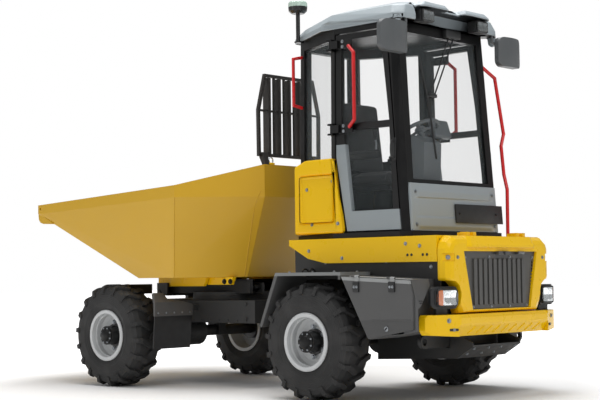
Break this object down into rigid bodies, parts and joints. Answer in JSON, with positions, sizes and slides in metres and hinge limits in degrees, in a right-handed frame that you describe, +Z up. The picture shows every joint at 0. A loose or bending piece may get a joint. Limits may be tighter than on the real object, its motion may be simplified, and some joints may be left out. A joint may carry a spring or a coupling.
{
  "type": "articulated site dumper",
  "caption": "Articulated site dumper with a turning, tipping load skip on the front half and a closed cab over the engine half, on lugged tyres.",
  "frame": {"origin": "ground point under the middle of the overall length and width", "axes": "+X towards the engine end, +Y to the far side, +Z up"},
  "size_m": [4.46, 1.969, 3.155],
  "materials": {
    "yellow_paint": "gloss paint",
    "dark_paint": "satin paint",
    "grey_paint": "satin paint",
    "cab_grey": "satin paint",
    "roof_grey": "satin",
    "black_frame": "satin paint",
    "black_plastic": "grained",
    "grille_grey": "grained",
    "red_paint": "gloss paint",
    "glass": "clear",
    "tyre": "rubber",
    "rim_paint": "satin paint",
    "iron": "rough",
    "steel": "ground",
    "seat_cloth": "woven",
    "lamp": "clear"
  },
  "bodies": {
    "chassis": {"rear_frame": "dark_paint", "bulkheads": "dark_paint", "tie_eyes": "dark_paint", "rear_axle": "iron", "engine_block": "iron", "engine_cover": "yellow_paint", "body_panels": "dark_paint", "bumper": "yellow_paint", "headlamps": "black_plastic", "rear_fenders": "grey_paint", "tool_box": "grey_paint", "fuel_tank": "grey_paint", "cab_base": "black_frame", "cab_frame": "black_frame", "cab_roof": "roof_grey", "cab_front_panel": "cab_grey", "corner_fairings": "yellow_paint", "cab_glass": "glass", "mirrors": "black_plastic", "beacon": "lamp", "hand_rails": "red_paint"},
    "driver_station": {"seat": "black_plastic", "seat_cushions": "seat_cloth", "steering_console": "black_plastic"},
    "hood": {"hood_fascia": "yellow_paint", "radiator_grille": "grille_grey"},
    "door_near": {"door_near": "cab_grey", "door_near_glass": "glass", "door_near_rail": "red_paint"},
    "door_far": {"door_far": "cab_grey", "door_far_glass": "glass", "door_far_rail": "red_paint"},
    "locker_flap": {"box_flap": "grey_paint"},
    "front_half": {"front_frame": "dark_paint", "front_axle": "iron", "mudguards": "black_plastic"},
    "turntable": {"turntable": "dark_paint"},
    "skip": {"skip_tub": "yellow_paint", "skip_rails": "yellow_paint", "skip_guard": "black_frame"},
    "tip_barrels": {"tip_barrels": "black_frame"},
    "tip_rods": {"tip_rods": "steel"},
    "steer_barrel": {"steer_barrel": "black_frame"},
    "steer_rod": {"steer_rod": "steel"},
    "wheel_front_near": {"tyre_front_near": "tyre", "rim_front_near": "rim_paint"},
    "wheel_front_far": {"tyre_front_far": "tyre", "rim_front_far": "rim_paint"},
    "wheel_rear_near": {"tyre_rear_near": "tyre", "rim_rear_near": "rim_paint"},
    "wheel_rear_far": {"tyre_rear_far": "tyre", "rim_rear_far": "rim_paint"}
  },
  "joints": [
    {"name": "steer", "type": "hinge", "parent": "chassis", "child": "front_half", "pos_m": [0.2, 0, 0.61], "axis": [0, 0, -1], "range_deg": [-30, 30]},
    {"name": "skip_swivel", "type": "hinge", "parent": "front_half", "child": "turntable", "pos_m": [-0.615, 0, 0.765], "axis": [0, 0, 1], "range_deg": [-90, 90]},
    {"name": "skip_tip", "type": "hinge", "parent": "turntable", "child": "skip", "pos_m": [-1.255, 0, 0.8], "axis": [0, -1, 0], "range_deg": [0, 50]},
    {"name": "station_turn", "type": "hinge", "parent": "chassis", "child": "driver_station", "pos_m": [1.15, 0, 1.25], "axis": [0, 0, 1], "range_deg": [0, 180]},
    {"name": "door_near_swing", "type": "hinge", "parent": "chassis", "child": "door_near", "pos_m": [1.093, -0.627, 2], "axis": [0, 0, -1], "range_deg": [0, 90]},
    {"name": "door_far_swing", "type": "hinge", "parent": "chassis", "child": "door_far", "pos_m": [1.093, 0.627, 2], "axis": [0, 0, 1], "range_deg": [0, 90]},
    {"name": "hood_lift", "type": "hinge", "parent": "chassis", "child": "hood", "pos_m": [2.1, 0, 1.224], "axis": [0, -1, 0], "range_deg": [0, 70]},
    {"name": "locker_lift", "type": "hinge", "parent": "chassis", "child": "locker_flap", "pos_m": [1.74967, -0.967, 0.91484], "axis": [-0.9989, 0, 0.0472], "range_deg": [0, 85]},
    {"name": "steer_barrel_turn", "type": "hinge", "parent": "chassis", "child": "steer_barrel", "pos_m": [0.66, 0.15, 0.61], "axis": [0, 0, 1], "range_deg": [-4.5, 4.5]},
    {"name": "steer_rod_slide", "type": "slide", "parent": "steer_barrel", "child": "steer_rod", "axis": [-0.9954, 0.0957, 0], "range_m": [-0.10031, 0.10031]},
    {"name": "tip_barrel_turn", "type": "hinge", "parent": "turntable", "child": "tip_barrels", "pos_m": [-0.22, 0, 0.835], "axis": [0, 1, 0], "range_deg": [-0.5, 7.22]},
    {"name": "tip_rod_slide", "type": "slide", "parent": "tip_barrels", "child": "tip_rods", "axis": [-0.9974, 0, 0.0725], "range_m": [-0.002, 0.16541]},
    {"name": "wheel_front_near_spin", "type": "hinge", "parent": "front_half", "child": "wheel_front_near", "pos_m": [-1.23, -0.8335, 0.4375], "axis": [0, 1, 0], "continuous": true},
    {"name": "wheel_front_far_spin", "type": "hinge", "parent": "front_half", "child": "wheel_front_far", "pos_m": [-1.23, 0.8335, 0.4375], "axis": [0, 1, 0], "continuous": true},
    {"name": "wheel_rear_near_spin", "type": "hinge", "parent": "chassis", "child": "wheel_rear_near", "pos_m": [1.1, -0.8335, 0.4375], "axis": [0, 1, 0], "continuous": true},
    {"name": "wheel_rear_far_spin", "type": "hinge", "parent": "chassis", "child": "wheel_rear_far", "pos_m": [1.1, 0.8335, 0.4375], "axis": [0, 1, 0], "continuous": true}
  ],
  "couplings": [
    {"joint": "steer_barrel_turn", "follows": "steer", "ratio": -0.13325},
    {"joint": "steer_rod_slide", "follows": "steer", "m_per_rad": -0.18776},
    {"joint": "tip_barrel_turn", "follows": "skip_tip", "ratio": 0.13436},
    {"joint": "tip_rod_slide", "follows": "skip_tip", "m_per_rad": 0.18725}
  ]
}
